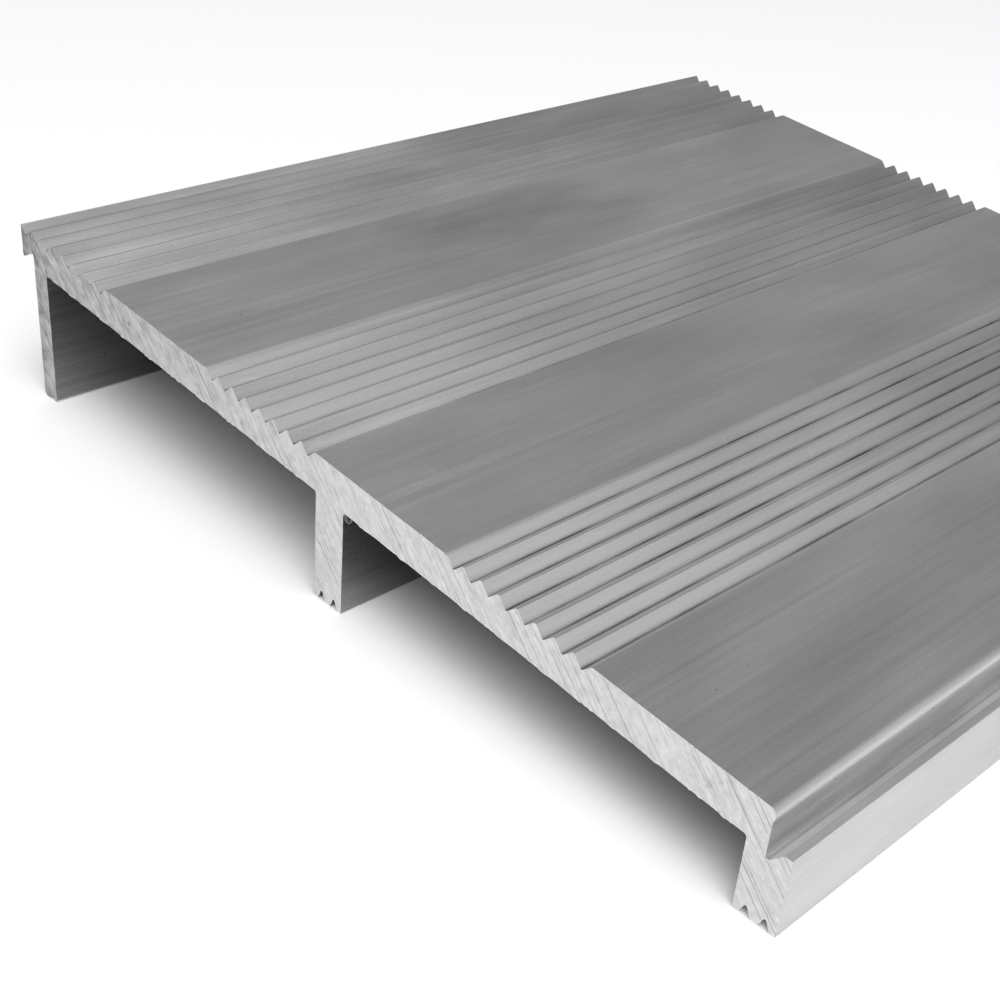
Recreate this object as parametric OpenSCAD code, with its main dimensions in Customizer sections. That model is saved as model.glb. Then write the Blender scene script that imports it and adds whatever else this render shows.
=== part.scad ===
// Ramp threshold section: one aluminium extrusion, sawn square at both ends.
// X runs down the slope from the upper edge to the lower edge, Y runs along
// the extrusion and Z is up. The origin is on the floor, under the middle.

/* [Deck] */
// Level distance from the upper edge to the lower edge of the deck
deck_run = 152.4; // [130:0.1:170]
// Height that the deck loses over that distance
deck_rise = 12.7; // [10:0.1:14]
// Height of the deck's upper edge above the floor
upper_h = 28.8; // [27:0.1:36]
// Thickness of the deck plate, square to its surface
deck_t = 5.7; // [5:0.1:6.3]
// Length of the sawn piece
cut_l = 165; // [60:1:900]

/* [Flutes] */
// Fluted bands across the deck, each with a plain band below it
band_count = 3; // [1:1:3]
// Grooves in one band
flute_count = 8; // [4:1:9]
// Distance from one groove to the next
flute_pitch = 3.14; // [2.5:0.01:3.3]
// Depth of a groove below the deck surface
flute_d = 1.35; // [0.6:0.05:2]
// Width of the land left on top of each ridge
ridge_w = 0.3; // [0.1:0.05:0.6]
// Width of the bottom of a groove
valley_w = 0.16; // [0.05:0.01:0.4]

/* [Legs] */
// Thickness of the upper leg
upper_leg_t = 3.7; // [3:0.1:5]
// Thickness of the middle leg
middle_leg_t = 5.8; // [5.5:0.1:8]
// Thickness of the lower leg, with the catch on top of it
lower_leg_t = 6; // [6:0.1:8]
// Distance from the upper edge to the centre of the middle leg
middle_leg_x = 78.9; // [70:0.1:90]
// Thickness of the wall between the lower leg's inner face and the catch
catch_wall_t = 2.7; // [2:0.1:3]
// Radius in the corners between the legs and the deck
root_r = 0.5; // [0.2:0.1:1.5]

/* [Feet] */
// Distance between the two grooves in a wide foot
foot_pitch = 2.65; // [2.4:0.05:2.9]
// Depth of the grooves in a wide foot
foot_groove_d = 1.5; // [0.8:0.1:2]
// Depth of the groove in the narrow upper foot
upper_groove_d = 0.9; // [0.6:0.1:1.2]
// Distance from the upper leg's outer face to the groove in its foot
upper_groove_x = 2.4; // [2:0.1:2.5]
// Bevel on the outer edge of the upper foot
upper_foot_bevel = 0.5; // [0.2:0.1:1]
// Slant of a foot groove's sides from upright
foot_groove_slant = 22; // [15:1:28]
// Radius at the top of a foot groove
foot_groove_r = 0.25; // [0.1:0.05:0.3]

/* [Upper hook] */
// How far the hook hangs out behind the upper leg
hook_w = 3.3; // [2.8:0.1:4]
// Depth of the hook's tip below the deck's upper edge
hook_d = 5.2; // [4.6:0.1:6]
// Depth of the hook's root below the deck's upper edge, at the leg
hook_root_d = 3.6; // [3:0.1:4.2]
// Width of the blunt end of the hook's tip
hook_tip_w = 0.5; // [0.2:0.1:1]

/* [Lower catch] */
// How far the nose stands out past the end of the deck
nose_w = 0.8; // [0.4:0.1:1]
// Depth of the nose's furthest point below the deck's lower edge
nose_d = 1.1; // [0.8:0.1:2]
// How far the wall under the nose is cut back
undercut_w = 0.2; // [0.1:0.05:0.4]
// Depth of the floor of the catch groove below the deck's lower edge
catch_floor_d = 6.7; // [6:0.1:7]
// Width of the floor of the catch groove
catch_floor_w = 0.5; // [0.3:0.1:0.7]
// Depth of the upstand's crest below the deck's lower edge
crest_d = 4.9; // [4.5:0.1:5.5]
// Width of the upstand's crest
crest_w = 1.1; // [0.6:0.1:1.3]

/* [Hidden] */
arc_steps = 6;
slope = atan(deck_rise / deck_run);
band_l = deck_run / cos(slope) / band_count;
lower_h = upper_h - deck_rise;
upper_leg_x = hook_w + upper_leg_t;
middle_leg_x0 = middle_leg_x - middle_leg_t / 2;
middle_leg_x1 = middle_leg_x + middle_leg_t / 2;
nose_x = deck_run + nose_w;
catch_x = nose_x - undercut_w;
lower_leg_x0 = catch_x - catch_wall_t;
lower_leg_x1 = lower_leg_x0 + lower_leg_t;

// Height of the deck's underside at a distance x from the upper edge
function under_z(x) = upper_h - x * tan(slope) - deck_t / cos(slope);

// Point at a distance s down the deck surface and a depth d below it
function on_deck(s, d) =
    [s * cos(slope) - d * sin(slope), upper_h - s * sin(slope) - d * cos(slope)];

function arc(x, z, r, from, to) = [
    for (i = [0 : arc_steps])
        let (a = from + (to - from) * i / arc_steps)
            [x + r * cos(a), z + r * sin(a)]
];

// Fillet where a leg's face at x meets the deck's underside. side is 1 where
// the open space is on the leg's +X side, and -1 where it is on the other.
function root_arc(x, side) =
    let (
        centre_x = x + side * root_r,
        centre_z = under_z(centre_x) - root_r / cos(slope)
    )
        side > 0
            ? arc(centre_x, centre_z, root_r, 90 - slope, 180)
            : arc(centre_x, centre_z, root_r, 0, 90 - slope);

// Round-topped groove in the underside of a foot, from its +X side to its -X side
function foot_groove(x, depth) =
    let (
        centre_z = depth - foot_groove_r,
        mouth = foot_groove_r / cos(foot_groove_slant) + centre_z * tan(foot_groove_slant)
    )
        concat(
            [[x + mouth, 0]],
            arc(x, centre_z, foot_groove_r, foot_groove_slant, 180 - foot_groove_slant),
            [[x - mouth, 0]]
        );

// Foot with three ridges, from its +X side to its -X side
function wide_foot(x0, x1) =
    concat(
        [[x1, 0]],
        foot_groove((x0 + x1 + foot_pitch) / 2, foot_groove_d),
        foot_groove((x0 + x1 - foot_pitch) / 2, foot_groove_d),
        [[x0, 0]]
    );

// V grooves at the top of every band, from the upper edge down the deck
deck_points = concat(
    [on_deck(0, 0)],
    [
        for (band = [0 : band_count - 1], i = [0 : flute_count - 1])
            let (s = band * band_l + i * flute_pitch)
                for (p = [
                    [ridge_w / 2, 0],
                    [(flute_pitch - valley_w) / 2, flute_d],
                    [(flute_pitch + valley_w) / 2, flute_d],
                    [flute_pitch - ridge_w / 2, 0],
                ])
                    on_deck(s + p[0], p[1])
    ]
);

// Rounded nose at the lower edge, undercut below its furthest point
nose_points = concat(
    [
        for (a = [0 : 15 : 90])
            [deck_run + nose_w * sin(a), lower_h - nose_d * (1 - cos(a))]
    ],
    [
        [nose_x, lower_h - nose_d - undercut_w],
        [catch_x, lower_h - nose_d - 3 * undercut_w],
    ]
);

// Catch groove, and the upstand in front of it
catch_points = [
    [catch_x, lower_h - catch_floor_d],
    [catch_x + catch_floor_w, lower_h - catch_floor_d],
    [lower_leg_x1 - crest_w, lower_h - crest_d],
    [lower_leg_x1, lower_h - crest_d],
];

lower_leg_points = concat(wide_foot(lower_leg_x0, lower_leg_x1), root_arc(lower_leg_x0, -1));

middle_leg_points = concat(
    root_arc(middle_leg_x1, 1),
    wide_foot(middle_leg_x0, middle_leg_x1),
    root_arc(middle_leg_x0, -1)
);

upper_leg_points = concat(
    root_arc(upper_leg_x, 1),
    [[upper_leg_x, 0]],
    foot_groove(hook_w + upper_groove_x, upper_groove_d),
    [[hook_w + upper_foot_bevel, 0], [hook_w, upper_foot_bevel]]
);

// Underside of the hook, from its root at the upper leg down to its blunt tip
hook_slope = atan((hook_d - hook_root_d) / (hook_w - hook_tip_w));
hook_points = concat(
    arc(
        hook_w - root_r,
        upper_h - hook_root_d - root_r * tan(hook_slope) - root_r / cos(hook_slope),
        root_r,
        0,
        90 + hook_slope
    ),
    [
        [hook_tip_w, upper_h - hook_d],
        [hook_tip_w / 2, upper_h - hook_d],
        [0, upper_h - hook_d + hook_tip_w / 2],
    ]
);

// Cross section, with x from the upper edge and y as height
module section() {
    polygon(concat(
        deck_points,
        nose_points,
        catch_points,
        lower_leg_points,
        middle_leg_points,
        upper_leg_points,
        hook_points
    ));
}

module ramp_extrusion() {
    color("silver")
        translate([-lower_leg_x1 / 2, cut_l / 2, 0])
            rotate([90, 0, 0])
                linear_extrude(cut_l)
                    section();
}

ramp_extrusion();
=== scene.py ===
"""Looks of the ramp threshold section: one mill-finish aluminium extrusion with two sawn ends.

The section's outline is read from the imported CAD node. The visible piece is rebuilt from it
at the CAD's size, with worn corners and real saw marks in both ends. A second piece is the
burrs and swarf that the saw left under the deck.
"""

import math
import random

import bmesh
import bpy
from mathutils import Matrix, Vector, noise


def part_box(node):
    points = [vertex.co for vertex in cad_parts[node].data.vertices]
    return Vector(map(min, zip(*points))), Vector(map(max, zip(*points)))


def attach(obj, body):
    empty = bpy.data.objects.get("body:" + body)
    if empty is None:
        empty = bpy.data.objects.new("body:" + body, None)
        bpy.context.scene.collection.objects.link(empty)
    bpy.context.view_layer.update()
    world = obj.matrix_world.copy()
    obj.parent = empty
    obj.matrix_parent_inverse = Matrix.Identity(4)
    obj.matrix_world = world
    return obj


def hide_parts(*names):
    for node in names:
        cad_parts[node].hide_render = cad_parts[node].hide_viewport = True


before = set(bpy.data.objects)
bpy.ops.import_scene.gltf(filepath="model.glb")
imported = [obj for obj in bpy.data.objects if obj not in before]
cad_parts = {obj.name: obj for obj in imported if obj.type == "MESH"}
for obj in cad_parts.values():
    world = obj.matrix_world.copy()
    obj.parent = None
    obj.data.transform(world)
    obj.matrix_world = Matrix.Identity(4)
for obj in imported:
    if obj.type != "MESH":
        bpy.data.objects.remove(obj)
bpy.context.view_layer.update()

MM = 0.001
NODE = "ramp_extrusion"
BODY = "root"
LOW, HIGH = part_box(NODE)

# Camera: its place, the point it looks at, and its lens
CAMERA_AT = Vector((0.1357, -0.1902, 0.1231))
CAMERA_AIM = Vector((0.0087, -0.0586, 0.0120))
CAMERA_ROLL = math.radians(5.0)
CAMERA_LENS = 55.3

# The section, as part.scad gives it: the deck, then faces of the upper and middle legs
# as distances from the high edge
DECK_FALL = 1 / 12
DECK_RUN = 152.4 * MM
DECK_THICKNESS = 5.7 * MM
UPPER_LEG_INNER = 7.0 * MM
MIDDLE_LEG_FACE = 81.8 * MM

# At the low edge: the leg's inner face and the catch's bevel, as distances from the outer
# face, and a height just below the floor of the catch
LOWER_LEG_INNER = 6.0 * MM
BEVEL_FOOT = 2.75 * MM
BEVEL_TOP = 1.15 * MM
CATCH_BOTTOM = 9 * MM

# Worn corners of the section. The soft radius is where a plain band turns down into the
# first flute below it: a plain band is longer than PLAIN_BAND, and a flank shorter than FLANK
EDGE_RADIUS = 0.12 * MM
SOFT_RADIUS = 1.1 * MM
CORNER_TURN = math.radians(20)
ARC_STEP = math.radians(15)
PLAIN_BAND = 10 * MM
FLANK = 3 * MM

# Rings of vertices along the walls: close together at the ends, then even
END_RINGS = (0, 0.5 * MM, 2 * MM)
WALL_SPANS = 26

# Saw cuts: the marks' slant, the facets and grooves across them, the cuts that let the
# face bend along them, and a slow waviness
NEAR_MARK_ANGLE = math.radians(-47)
FAR_MARK_ANGLE = math.radians(-52)
FACET_WIDTH = (0.35 * MM, 1.5 * MM)
FACET_DEPTH = 0.045 * MM
GROOVE_SHARE = 0.4
GROOVE_WIDTH = (0.10 * MM, 0.22 * MM)
GROOVE_DEPTH = (0.03 * MM, 0.07 * MM)
CROSS_CUT = 2.5 * MM
WAVE_LENGTH = 7 * MM
WAVE_DEPTH = 0.015 * MM

# Distances smaller than this count as none
SNAP = 0.002 * MM

# Burrs and swarf that the saw left along the lower rim of each cut
BURR_STEP = 0.45 * MM
BURR_DROP = 0.34 * MM
BURR_THICKNESS = 0.06 * MM
BURR_INSET = 0.11 * MM
BURR_ROOT = 0.03 * MM
BURR_LEAN = 0.08 * MM
CURL_RADIUS = 0.7 * MM
CURL_TURNS = 1.8
CURL_STEPS_PER_TURN = 20
CURL_WIDTH = 0.32 * MM
CURL_THICKNESS = 0.04 * MM

# Mill finish: how directional its gloss is, and how quickly the painted shade in a groove thins out
# as its sides rise
MILL_ANISOTROPY = 0.3
GROOVE_SHADE_FALLOFF = 14.0

# The flutes get darker with painted shade this way along x and y, between these two distances
FAR_CORNER_WAY = Vector((-0.6, 1, 0))
FAR_CORNER_SPAN = (-50 * MM, 90 * MM)

# Sawn faces are rougher and carry painted shade at the high edge, fading to bright at this x. The
# painted shade is darkest in a strip this wide along that edge
SAWN_DULL_SHADE_END = 5 * MM
SAWN_SHADED_EDGE = 6 * MM

# A dark patch on the upper plain band, where the piece has been handled
PATCH_MIDDLE = Vector((-46 * MM, -8 * MM, 26 * MM))
PATCH_REACH = Vector((10 * MM, 30 * MM, 10 * MM))

# Material numbers on the piece
MILL, SAWN, CHANNEL, CATCH, BEVEL, OUTER, FLUTE = range(7)


# ---------------------------------------------------------------- camera, floor and light

def make_camera():
    data = bpy.data.cameras.new("camera")
    data.sensor_width = 36
    data.lens = CAMERA_LENS
    data.clip_start = 0.01
    data.clip_end = 20
    camera = bpy.data.objects.new("camera", data)
    bpy.context.scene.collection.objects.link(camera)
    look = (CAMERA_AIM - CAMERA_AT).to_track_quat("-Z", "Y").to_matrix()
    turn = look @ Matrix.Rotation(CAMERA_ROLL, 3, "Z")
    camera.matrix_world = Matrix.Translation(CAMERA_AT) @ turn.to_4x4()
    bpy.context.scene.camera = camera


def make_floor():
    half = 3.0
    corners = [(-half, -half, 0), (half, -half, 0), (half, half, 0), (-half, half, 0)]
    mesh = bpy.data.meshes.new("floor")
    mesh.from_pydata(corners, [], [(0, 1, 2, 3)])
    floor = bpy.data.objects.new("floor", mesh)
    bpy.context.scene.collection.objects.link(floor)
    material = bpy.data.materials.new("floor_white")
    material.use_nodes = True
    shader = material.node_tree.nodes["Principled BSDF"]
    shader.inputs["Base Color"].default_value = (0.90, 0.90, 0.90, 1)
    shader.inputs["Roughness"].default_value = 0.9
    mesh.materials.append(material)


def make_area_light(name, azimuth, elevation, distance, size, power):
    """A square softbox aimed at the object. Azimuth is from +X towards +Y, in degrees."""
    a, e = math.radians(azimuth), math.radians(elevation)
    away = Vector((math.cos(a) * math.cos(e), math.sin(a) * math.cos(e), math.sin(e)))
    data = bpy.data.lights.new(name, "AREA")
    data.size = size
    data.energy = power
    light = bpy.data.objects.new(name, data)
    bpy.context.scene.collection.objects.link(light)
    light.matrix_world = (
        Matrix.Translation(away * distance) @ away.to_track_quat("Z", "Y").to_matrix().to_4x4()
    )


def make_light():
    world = bpy.data.worlds.new("studio")
    world.use_nodes = True
    background = world.node_tree.nodes["Background"]
    background.inputs["Color"].default_value = (1, 1, 1, 1)
    background.inputs["Strength"].default_value = 0.33
    bpy.context.scene.world = world
    bpy.context.scene.view_settings.view_transform = "Standard"
    make_area_light("key", azimuth=-42, elevation=62, distance=2.2, size=1.8, power=56)
    make_area_light("side", azimuth=32, elevation=28, distance=0.65, size=0.32, power=0.18)


# ---------------------------------------------------------------- the section's outline

def section_outline():
    """The section's corners in order, as (x, z), from the CAD node's cap at its lowest y."""
    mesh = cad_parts[NODE].data
    edges = set()
    for polygon in mesh.polygons:
        corners = [mesh.vertices[i].co for i in polygon.vertices]
        if max(c.y for c in corners) - LOW.y < SNAP:
            keys = [(round(c.x, 6), round(c.z, 6)) for c in corners]
            edges.update(zip(keys, keys[1:] + keys[:1]))
    following = {a: b for a, b in edges if (b, a) not in edges}
    loop = [min(following)]
    for _ in range(len(following) - 1):
        loop.append(following[loop[-1]])
    return [Vector(point) for point in loop]


def signed_area(loop):
    return sum(a.cross(b) for a, b in zip(loop, loop[1:] + loop[:1])) / 2


def corner_radius(before, after, convex):
    """Wear radius of a corner between edges of these lengths."""
    if convex and before > PLAIN_BAND and after < FLANK:
        return SOFT_RADIUS
    return EDGE_RADIUS if convex else EDGE_RADIUS / 2


def worn_outline(loop):
    """The outline, clockwise, with its corners rounded: a list of (point, crest, valley).

    Clockwise goes down the slope, so that a plain band comes before the groove below it.
    crest peaks at 1 in the middle of a rounded outer corner, and valley is 1 all round an
    inner one. Both are 0 elsewhere.
    """
    if signed_area(loop) > 0:
        loop = loop[::-1]
    made = []
    count = len(loop)
    for i, corner in enumerate(loop):
        back, ahead = loop[i - 1] - corner, loop[(i + 1) % count] - corner
        turn = math.pi - back.angle(ahead)
        if turn < CORNER_TURN:
            made.append((corner, 0, 0))
            continue
        convex = (-back).cross(ahead) < 0
        radius = corner_radius(back.length, ahead.length, convex)
        reach = radius * math.tan(turn / 2)
        reach = min(reach, 0.4 * back.length, 0.4 * ahead.length)
        radius = reach / math.tan(turn / 2)
        inward = (back.normalized() + ahead.normalized()).normalized()
        centre = corner + inward * radius / math.cos(turn / 2)
        steps = max(3, math.ceil(turn / ARC_STEP))
        start = corner + back.normalized() * reach - centre
        end = corner + ahead.normalized() * reach - centre
        for k in range(steps + 1):
            share = k / steps
            spoke = start.slerp(end, share).normalized() * radius
            crest = math.sin(math.pi * share) if convex else 0
            made.append((centre + spoke, crest, 0 if convex else 1))
    return made


# ---------------------------------------------------------------- the extrusion

def ring_places():
    """Distances along the length where the walls have a ring of vertices."""
    ends = list(END_RINGS)
    length = HIGH.y - LOW.y
    middle_length = length - 2 * ends[-1]
    middle = [ends[-1] + middle_length * i / WALL_SPANS for i in range(1, WALL_SPANS)]
    places = ends + middle + [length - e for e in reversed(ends)]
    return [LOW.y + p for p in places]


def deck_z(x):
    """Height of the deck's plain surface at x."""
    return HIGH.z - (x - LOW.x) * DECK_FALL


def in_channel(a, b):
    """Whether the wall from a to b faces a space under the deck."""
    middle = (a + b) / 2
    first_x = LOW.x + UPPER_LEG_INNER - SNAP
    last_x = HIGH.x - LOWER_LEG_INNER + SNAP
    return first_x < middle.x < last_x and middle.y < deck_z(middle.x) - 0.9 * DECK_THICKNESS


def wall_finish(a, b):
    """Material number of the wall from a to b."""
    middle = (a + b) / 2
    if in_channel(a, b):
        # walls under the deck take a much darker copy of mill finish: painted shade
        return CHANNEL
    if middle.x > HIGH.x - 0.2 * EDGE_RADIUS:
        # the outer face takes a darker copy of mill finish: painted shade
        return OUTER
    if middle.x > LOW.x + DECK_RUN and middle.y > CATCH_BOTTOM:
        # the bevel takes a near-white copy of mill finish: painted reflection
        return BEVEL if BEVEL_TOP < HIGH.x - middle.x < BEVEL_FOOT else CATCH
    on_top = middle.y > deck_z(middle.x) - 0.5 * DECK_THICKNESS
    return FLUTE if on_top and (b - a).length < PLAIN_BAND else MILL


def build_walls(bm, outline, places):
    """The long faces, ring by ring. Returns the first and the last ring."""
    crest = bm.verts.layers.float.new("crest")
    valley = bm.verts.layers.float.new("valley")
    profile = bm.loops.layers.uv.new("profile")
    arc = [0]
    for a, b in zip(outline, outline[1:] + outline[:1]):
        arc.append(arc[-1] + (b[0] - a[0]).length)
    rings = []
    for y in places:
        ring = []
        for point, crest_value, valley_value in outline:
            vertex = bm.verts.new((point.x, y, point.y))
            vertex[crest] = crest_value
            vertex[valley] = valley_value
            ring.append(vertex)
        rings.append(ring)
    count = len(outline)
    for row in range(len(places) - 1):
        for i in range(count):
            j = (i + 1) % count
            face = bm.faces.new((rings[row][i], rings[row][j], rings[row + 1][j], rings[row + 1][i]))
            face.smooth = True
            face.material_index = wall_finish(outline[i][0], outline[j][0])
            arcs = (arc[i], arc[i + 1], arc[i + 1], arc[i])
            rows = (row, row, row + 1, row + 1)
            for loop, a, r in zip(face.loops, arcs, rows):
                loop[profile].uv = (a, places[r])
    return rings[0], rings[-1]


def saw_knots(rng, first, last):
    """Facets and narrow grooves left by the saw, as (place across the marks, depth)."""
    knots = [(first, 0.5 * FACET_DEPTH)]
    place = first
    while place < last:
        place += rng.uniform(*FACET_WIDTH)
        level = rng.uniform(0, FACET_DEPTH)
        knots.append((place, level))
        if rng.random() < GROOVE_SHARE:
            width = rng.uniform(*GROOVE_WIDTH)
            knots.append((place + 0.4 * width, level + rng.uniform(*GROOVE_DEPTH)))
            place += width
            knots.append((place, rng.uniform(0, FACET_DEPTH)))
    return knots


def split_faces(bm, faces, normal, places):
    """Cuts the faces by parallel planes, in order, and returns all that they become."""
    done, rest = [], list(faces)
    for place in places:
        geometry = set(rest)
        for face in rest:
            geometry.update(face.edges)
            geometry.update(face.verts)
        cut = bmesh.ops.bisect_plane(
            bm, geom=list(geometry), dist=SNAP, plane_co=normal * place, plane_no=normal
        )
        pieces = [g for g in cut["geom"] if isinstance(g, bmesh.types.BMFace)]
        rest = [f for f in pieces if f.calc_center_median().dot(normal) > place]
        done += [f for f in pieces if f.calc_center_median().dot(normal) <= place]
    return done + rest


def level_at(knots, place):
    for (a, depth_a), (b, depth_b) in zip(knots, knots[1:]):
        if place <= b:
            return depth_a + (depth_b - depth_a) * max(0, place - a) / (b - a)
    return knots[-1][1]


def saw_end(bm, ring, inward, angle, seed):
    """Closes a ring with a sawn face: facets along the saw's path, and a slow waviness."""
    rng = random.Random(seed)
    cap = bm.faces.new(ring)
    along = Vector((math.cos(angle), 0, math.sin(angle)))
    across = Vector((-math.sin(angle), 0, math.cos(angle)))
    reach = [v.co.dot(across) for v in ring]
    knots = saw_knots(rng, min(reach) - MM, max(reach) + MM)
    faces = split_faces(bm, [cap], across, [k[0] for k in knots])
    reach = [v.co.dot(along) for v in ring]
    count = math.floor((max(reach) - min(reach)) / CROSS_CUT)
    faces = split_faces(bm, faces, along, [min(reach) + CROSS_CUT * (i + 0.5) for i in range(count)])
    vertices = {v for f in faces for v in f.verts}
    for vertex in vertices:
        depth = level_at(knots, vertex.co.dot(across))
        wave = noise.noise(vertex.co / WAVE_LENGTH + Vector((seed, 0, 0)))
        vertex.co.y += inward * (depth + WAVE_DEPTH * (1 + wave))
    profile = bm.loops.layers.uv["profile"]
    for face in faces:
        face.smooth = False
        face.material_index = SAWN
        for loop in face.loops:
            loop[profile].uv = (loop.vert.co.dot(along), loop.vert.co.dot(across))
    bmesh.ops.triangulate(bm, faces=faces, ngon_method="BEAUTY")


def make_extrusion():
    outline = worn_outline(section_outline())
    bm = bmesh.new()
    near, far = build_walls(bm, outline, ring_places())
    saw_end(bm, near, inward=1, angle=NEAR_MARK_ANGLE, seed=3)
    saw_end(bm, far, inward=-1, angle=FAR_MARK_ANGLE, seed=8)
    bmesh.ops.recalc_face_normals(bm, faces=bm.faces)
    for edge in bm.edges:
        kinds = {f.material_index == SAWN for f in edge.link_faces}
        edge.smooth = len(kinds) == 1
    mesh = bpy.data.meshes.new("ramp_extrusion_finish")
    bm.to_mesh(mesh)
    bm.free()
    piece = bpy.data.objects.new("ramp_extrusion_finish", mesh)
    bpy.context.scene.collection.objects.link(piece)
    mesh.materials.append(mill_finish("mill_finish", tone=0.64, roughness=0.39))
    mesh.materials.append(sawn_finish())
    # painted shade: a much darker copy of mill finish for the walls under the deck
    mesh.materials.append(mill_finish("channel_painted_shade", tone=0.27, roughness=0.39))
    mesh.materials.append(mill_finish("catch_finish", tone=0.66, roughness=0.46))
    # painted reflection: a near-white copy of mill finish for the catch's bevel
    mesh.materials.append(mill_finish("bevel_painted_reflection", tone=0.95, roughness=0.46))
    # painted shade: a darker copy of mill finish for the outer face
    mesh.materials.append(mill_finish("outer_painted_shade", tone=0.53, roughness=0.39))
    mesh.materials.append(
        mill_finish("flute_finish", tone=0.65, roughness=0.39, groove_shade=0.5, far_shade=0.12)
    )
    modifier = piece.modifiers.new("flat_faces_lead", "WEIGHTED_NORMAL")
    modifier.keep_sharp = True
    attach(piece, BODY)
    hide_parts(NODE)
    return piece


# ---------------------------------------------------------------- burrs and swarf

def sweep(bm, sections):
    """A closed skin over cross sections that have the same number of points."""
    rings = [[bm.verts.new(point) for point in section] for section in sections]
    count = len(rings[0])
    for ring, following in zip(rings, rings[1:]):
        for i in range(count):
            j = (i + 1) % count
            bm.faces.new((ring[i], ring[j], following[j], following[i]))
    bm.faces.new(rings[0][::-1])
    bm.faces.new(rings[-1])


def under_deck_z(x):
    """Height of the deck's underside at x."""
    return deck_z(x) - DECK_THICKNESS * math.hypot(1, DECK_FALL)


def add_burr(bm, rng, first, last, rim_y, inward):
    """A ragged lip that hangs from the deck's lower rim, from x first to x last."""
    count = max(3, round((last - first) / BURR_STEP))
    sections = []
    for i in range(count + 1):
        x = first + (last - first) * i / count
        z = under_deck_z(x)
        fade = abs(math.sin(math.pi * i / count)) ** 0.5
        drop = BURR_DROP * fade * rng.uniform(0.25, 1.0) + 0.01 * MM
        lean = inward * rng.uniform(0, BURR_LEAN)
        outer_y = rim_y + inward * BURR_INSET
        sections.append((
            (x, outer_y, z + BURR_ROOT),
            (x, outer_y + inward * BURR_THICKNESS, z + BURR_ROOT),
            (x, outer_y + inward * BURR_THICKNESS / 2 + lean, z - drop),
        ))
    sweep(bm, sections)


def add_curl(bm, corner, side, inward):
    """A ribbon of swarf that curls out of the corner between a leg and the deck.

    It winds inward and gets narrower as it goes, and it drifts away from the cut.
    """
    sections = []
    steps = round(CURL_TURNS * CURL_STEPS_PER_TURN)
    half = CURL_THICKNESS / 2
    for i in range(steps + 1):
        share = i / steps
        angle = math.pi / 2 + side * 2 * math.pi * CURL_TURNS * share
        radius = CURL_RADIUS * (1 - 0.45 * share)
        centre = corner + Vector((side * CURL_RADIUS * 1.05, 0, -CURL_RADIUS * 1.0))
        spoke = Vector((math.cos(angle), 0, math.sin(angle)))
        width = CURL_WIDTH * (1 - 0.6 * share)
        start = centre + Vector((0, inward * (0.12 + 0.5 * share) * MM, 0))
        back = Vector((0, inward * width, 0))
        sections.append((
            start + spoke * (radius - half),
            start + spoke * (radius + half),
            start + back + spoke * (radius + half),
            start + back + spoke * (radius - half),
        ))
    sweep(bm, sections)


def make_burrs():
    rng = random.Random(21)
    bm = bmesh.new()
    middle_leg = LOW.x + MIDDLE_LEG_FACE
    spans = (
        (LOW.x + UPPER_LEG_INNER + MM, middle_leg - 8 * MM),
        (middle_leg + 2 * MM, HIGH.x - LOWER_LEG_INNER - MM),
    )
    for rim_y, inward in ((LOW.y, 1), (HIGH.y, -1)):
        for first, last in spans:
            place = first
            while place < last - 3 * MM:
                length = rng.uniform(2.5, 7) * MM
                end = min(place + length, last)
                add_burr(bm, rng, place, end, rim_y, inward)
                place = end + rng.uniform(0.2, 2.5) * MM
        corner = Vector((middle_leg, rim_y, under_deck_z(middle_leg)))
        add_curl(bm, corner, 1, inward)
    bmesh.ops.recalc_face_normals(bm, faces=bm.faces)
    mesh = bpy.data.meshes.new("saw_burrs")
    bm.to_mesh(mesh)
    bm.free()
    mesh.materials.append(swarf_finish())
    piece = bpy.data.objects.new("saw_burrs", mesh)
    bpy.context.scene.collection.objects.link(piece)
    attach(piece, BODY)


# ---------------------------------------------------------------- materials

def add_node(tree, kind, values=None, **settings):
    """A new node with its settings. values is for its inputs: a socket is linked, the rest set."""
    node = tree.nodes.new(kind)
    for name, value in settings.items():
        setattr(node, name, value)
    for name, value in (values or {}).items():
        if isinstance(value, bpy.types.NodeSocket):
            tree.links.new(value, node.inputs[name])
        else:
            node.inputs[name].default_value = value
    return node


def scaled_noise(tree, vector, scale, detail=3.0, roughness=0.5, offset=(0, 0, 0)):
    """Noise, 0 to 1, over a vector that is scaled by a different number on each axis."""
    placed = add_node(tree, "ShaderNodeMapping", {"Vector": vector, "Location": offset, "Scale": scale})
    return add_node(
        tree,
        "ShaderNodeTexNoise",
        {"Vector": placed.outputs[0], "Scale": 1.0, "Detail": detail, "Roughness": roughness},
    ).outputs["Fac"]


def ranged(tree, value, low, high, from_low=0.0, from_high=1.0):
    """value, mapped from one range to another and kept inside it."""
    return add_node(
        tree,
        "ShaderNodeMapRange",
        {"Value": value, "From Min": from_low, "From Max": from_high, "To Min": low, "To Max": high},
    ).outputs[0]


def math_node(tree, operation, a, b):
    return add_node(tree, "ShaderNodeMath", {0: a, 1: b}, operation=operation).outputs[0]


def grey(tree, value):
    """A grey colour from one number."""
    return add_node(tree, "ShaderNodeCombineColor", {0: value, 1: value, 2: value}).outputs[0]


def new_metal(name, anisotropy):
    material = bpy.data.materials.new(name)
    material.use_nodes = True
    tree = material.node_tree
    shader = tree.nodes["Principled BSDF"]
    shader.inputs["Metallic"].default_value = 1.0
    shader.inputs["Anisotropic"].default_value = anisotropy
    return material, tree, shader


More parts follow.
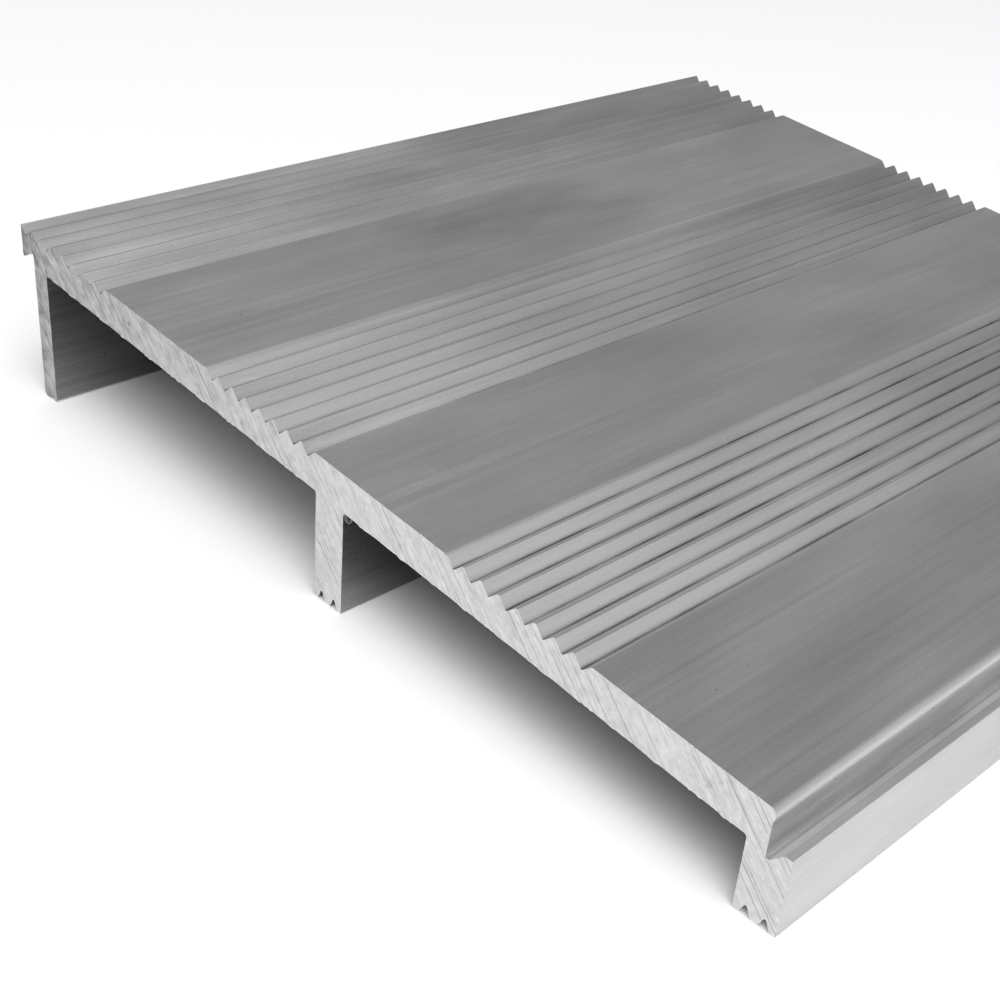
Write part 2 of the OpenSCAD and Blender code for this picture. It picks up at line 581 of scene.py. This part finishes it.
def pits(tree, place, density, size):
    """Sparse small pits, 1 inside one and 0 elsewhere. density is in cells per millimetre."""
    cells = add_node(tree, "ShaderNodeTexVoronoi", {"Vector": place, "Scale": density})
    keep = add_node(tree, "ShaderNodeSeparateColor", {0: cells.outputs["Color"]}).outputs[0]
    edge = math_node(tree, "MULTIPLY", keep, size * density)
    reach = math_node(tree, "SUBTRACT", edge, cells.outputs["Distance"])
    return ranged(tree, reach, 0, 1, 0, 0.3 * size * density)


def scratches(tree, place, angle, scale, cut):
    """Thin straight scratches, 1 on a scratch and 0 elsewhere.

    angle is how far they are turned from the place's second direction.
    """
    turned = add_node(tree, "ShaderNodeMapping", {"Vector": place, "Rotation": (0, 0, angle)}).outputs[0]
    ridges = scaled_noise(tree, turned, (scale, 0.05 * scale, 1), detail=0)
    near = math_node(tree, "ABSOLUTE", math_node(tree, "SUBTRACT", ridges, 0.5), 0)
    line = ranged(tree, near, 1, 0, 0, cut)
    patch = ranged(tree, scaled_noise(tree, turned, (0.09, 0.05, 1), detail=1), 0, 1, 0.56, 0.66)
    return math_node(tree, "MULTIPLY", line, patch)


def summed(tree, values):
    """The sum of the values, which are numbers or sockets."""
    total = values[0]
    for value in values[1:]:
        total = math_node(tree, "ADD", total, value)
    return total


def weighted(tree, value, weight):
    return math_node(tree, "MULTIPLY", value, weight)


def profile_place(tree):
    """The place on the piece's skin, in millimetres.

    On a wall it is round the section, then along it. On a cut it is along the saw's marks,
    then across them.
    """
    uv = add_node(tree, "ShaderNodeUVMap", uv_map="profile").outputs[0]
    return add_node(tree, "ShaderNodeVectorMath", {0: uv, "Scale": 1 / MM}, operation="SCALE").outputs[0]


def attribute(tree, name):
    return add_node(tree, "ShaderNodeAttribute", attribute_name=name).outputs["Fac"]


def add_bump(tree, shader, height, strength, distance):
    """Bumps the surface by a height pattern."""
    bump = add_node(tree, "ShaderNodeBump", {"Height": height, "Strength": strength, "Distance": distance})
    tree.links.new(bump.outputs[0], shader.inputs["Normal"])


def towards_far_corner(tree):
    """0 towards the near end of the low edge, growing to 1 towards the far end of the high edge."""
    coordinates = add_node(tree, "ShaderNodeTexCoord").outputs["Object"]
    toward = add_node(
        tree, "ShaderNodeVectorMath", {0: coordinates, 1: FAR_CORNER_WAY}, operation="DOT_PRODUCT"
    ).outputs["Value"]
    return ranged(tree, toward, 0, 1, *FAR_CORNER_SPAN)


def handled_patch(tree):
    """A soft dark patch on the upper plain band, 1 in its middle and 0 outside it."""
    coordinates = add_node(tree, "ShaderNodeTexCoord").outputs["Object"]
    from_middle = add_node(
        tree, "ShaderNodeVectorMath", {0: coordinates, 1: PATCH_MIDDLE}, operation="SUBTRACT"
    ).outputs[0]
    scaled = add_node(
        tree, "ShaderNodeVectorMath", {0: from_middle, 1: PATCH_REACH}, operation="DIVIDE"
    ).outputs[0]
    far = add_node(tree, "ShaderNodeVectorMath", {0: scaled}, operation="LENGTH").outputs["Value"]
    uneven = scaled_noise(tree, coordinates, (250, 60, 0), detail=3)
    far = math_node(tree, "ADD", far, ranged(tree, uneven, -0.35, 0.35, 0.3, 0.7))
    return ranged(tree, far, 1, 0, 0.2, 1.0)


def mill_patterns(tree, place):
    """The patterns that mill finish is made of, by name."""
    return {
        "fine": scaled_noise(tree, place, (7.0, 0.03, 1), detail=4),
        "lines": scaled_noise(tree, place, (1.1, 0.008, 1), detail=5, roughness=0.65),
        "blotch": scaled_noise(tree, place, (0.12, 0.035, 1), detail=3),
        "cloud": scaled_noise(tree, place, (0.05, 0.02, 1), detail=1, offset=(7, 3, 0)),
        "speck": scaled_noise(tree, place, (3.0, 2.0, 1), detail=2),
        "groove_shade_mottle": scaled_noise(tree, place, (0.6, 0.09, 1), detail=3),
        "pit": pits(tree, place, 0.28, 0.16),
        "scratch": scratches(tree, place, math.radians(14), 0.9, 0.012),
    }


def mill_tone(tree, patterns, base_tone, groove_shade, far_shade):
    """How light mill finish is: its patterns, worn crests, painted shade in grooves and towards the far
    corner, and a handled patch.
    """
    # painted shade: darker at inner corners, most of all in the grooves between flutes
    groove = math_node(tree, "POWER", attribute(tree, "valley"), GROOVE_SHADE_FALLOFF)
    groove_shade_mottle = ranged(tree, patterns["groove_shade_mottle"], 0.3 * groove_shade, groove_shade, 0.35, 0.65)
    return summed(tree, (
        ranged(tree, patterns["lines"], base_tone - 0.04, base_tone + 0.04, 0.3, 0.7),
        ranged(tree, patterns["blotch"], -0.03, 0.03, 0.3, 0.7),
        ranged(tree, patterns["cloud"], -0.06, 0.03, 0.3, 0.6),
        ranged(tree, patterns["fine"], -0.03, 0.03, 0.3, 0.7),
        ranged(tree, patterns["speck"], -0.02, 0.02, 0.3, 0.7),
        weighted(tree, attribute(tree, "crest"), 0.14),
        weighted(tree, patterns["scratch"], 0.07),
        weighted(tree, patterns["pit"], -0.4),
        # painted shade in the grooves
        weighted(tree, weighted(tree, groove, groove_shade_mottle), -1),
        # painted shade, darker towards the far end of the high edge
        weighted(tree, towards_far_corner(tree), -far_shade),
        weighted(tree, handled_patch(tree), -0.11),
    ))


def mill_finish(name, tone, roughness, groove_shade=0.15, far_shade=0.0):
    """Extruded aluminium with drag lines along its length.

    groove_shade is how much painted shade darkens it in a groove, and far_shade how much
    painted shade darkens it towards the far end of the high edge.
    """
    material, tree, shader = new_metal(name, MILL_ANISOTROPY)
    patterns = mill_patterns(tree, profile_place(tree))
    light = mill_tone(tree, patterns, tone, groove_shade, far_shade)
    tree.links.new(grey(tree, light), shader.inputs["Base Color"])
    rough = summed(tree, (
        ranged(tree, patterns["lines"], roughness - 0.03, roughness + 0.03, 0.3, 0.7),
        ranged(tree, patterns["blotch"], -0.03, 0.03, 0.3, 0.7),
        ranged(tree, patterns["speck"], -0.02, 0.02),
    ))
    tree.links.new(rough, shader.inputs["Roughness"])
    height = summed(tree, (
        patterns["lines"],
        weighted(tree, patterns["fine"], 0.3),
        weighted(tree, patterns["pit"], -3),
        weighted(tree, patterns["scratch"], -0.4),
    ))
    add_bump(tree, shader, height, strength=0.25, distance=0.012 * MM)
    tangent = add_node(tree, "ShaderNodeTangent", direction_type="UV_MAP", uv_map="profile")
    tree.links.new(tangent.outputs[0], shader.inputs["Tangent"])
    return material


def sawn_finish():
    """Freshly sawn aluminium: bright, marked along the saw's path, and rougher and darkened with painted
    shade towards the high edge.
    """
    material, tree, shader = new_metal("sawn_finish", 0.0)
    place = profile_place(tree)
    scratch = scaled_noise(tree, place, (0.12, 5.0, 1), detail=4, roughness=0.6)
    mark = scaled_noise(tree, place, (0.05, 1.1, 1), detail=2)
    smear = scaled_noise(tree, place, (0.35, 0.6, 1), detail=4)
    mottle = scaled_noise(tree, place, (0.8, 1.3, 1), detail=5, roughness=0.65)
    tear = scratches(tree, place, math.radians(88), 1.6, 0.02)
    glint = scratches(tree, place, math.radians(93), 1.1, 0.009)
    pit = pits(tree, place, 0.3, 0.17)
    coordinates = add_node(tree, "ShaderNodeTexCoord").outputs["Object"]
    x = add_node(tree, "ShaderNodeSeparateXYZ", {0: coordinates}).outputs[0]
    dull_and_shaded = ranged(tree, x, 1, 0, LOW.x, SAWN_DULL_SHADE_END)
    # painted shade: darkest in a strip along the high edge
    edge = ranged(tree, x, 1, 0, LOW.x + MM, LOW.x + SAWN_SHADED_EDGE)
    smudge = weighted(tree, ranged(tree, smear, 0, 1, 0.45, 0.7), ranged(tree, dull_and_shaded, 0.06, 0.22))
    tone = summed(tree, (
        ranged(tree, scratch, 0.59, 0.73, 0.3, 0.7),
        ranged(tree, mark, -0.04, 0.03, 0.3, 0.6),
        ranged(tree, mottle, -0.07, 0.06, 0.35, 0.65),
        weighted(tree, tear, -0.24),
        weighted(tree, glint, 0.25),
        weighted(tree, smudge, -1),
        # painted shade towards the high edge, which is also made rougher there
        weighted(tree, dull_and_shaded, -0.21),
        weighted(tree, edge, -0.14),
        weighted(tree, pit, -0.5),
    ))
    tree.links.new(grey(tree, tone), shader.inputs["Base Color"])
    rough = summed(tree, (ranged(tree, scratch, 0.38, 0.48, 0.3, 0.7), weighted(tree, dull_and_shaded, 0.06)))
    tree.links.new(rough, shader.inputs["Roughness"])
    height = summed(tree, (scratch, weighted(tree, pit, -3), weighted(tree, tear, -1)))
    add_bump(tree, shader, height, strength=0.4, distance=0.015 * MM)
    return material


def swarf_finish():
    """Torn aluminium: bright, with a mottled surface."""
    material, tree, shader = new_metal("swarf_finish", 0.0)
    coordinates = add_node(tree, "ShaderNodeTexCoord").outputs["Object"]
    mottle = scaled_noise(tree, coordinates, (3 / MM,) * 3, detail=3)
    tree.links.new(grey(tree, ranged(tree, mottle, 0.55, 0.8, 0.3, 0.7)), shader.inputs["Base Color"])
    tree.links.new(ranged(tree, mottle, 0.28, 0.45, 0.3, 0.7), shader.inputs["Roughness"])
    add_bump(tree, shader, mottle, strength=0.5, distance=0.02 * MM)
    return material


make_camera()
make_floor()
make_light()
make_extrusion()
make_burrs()
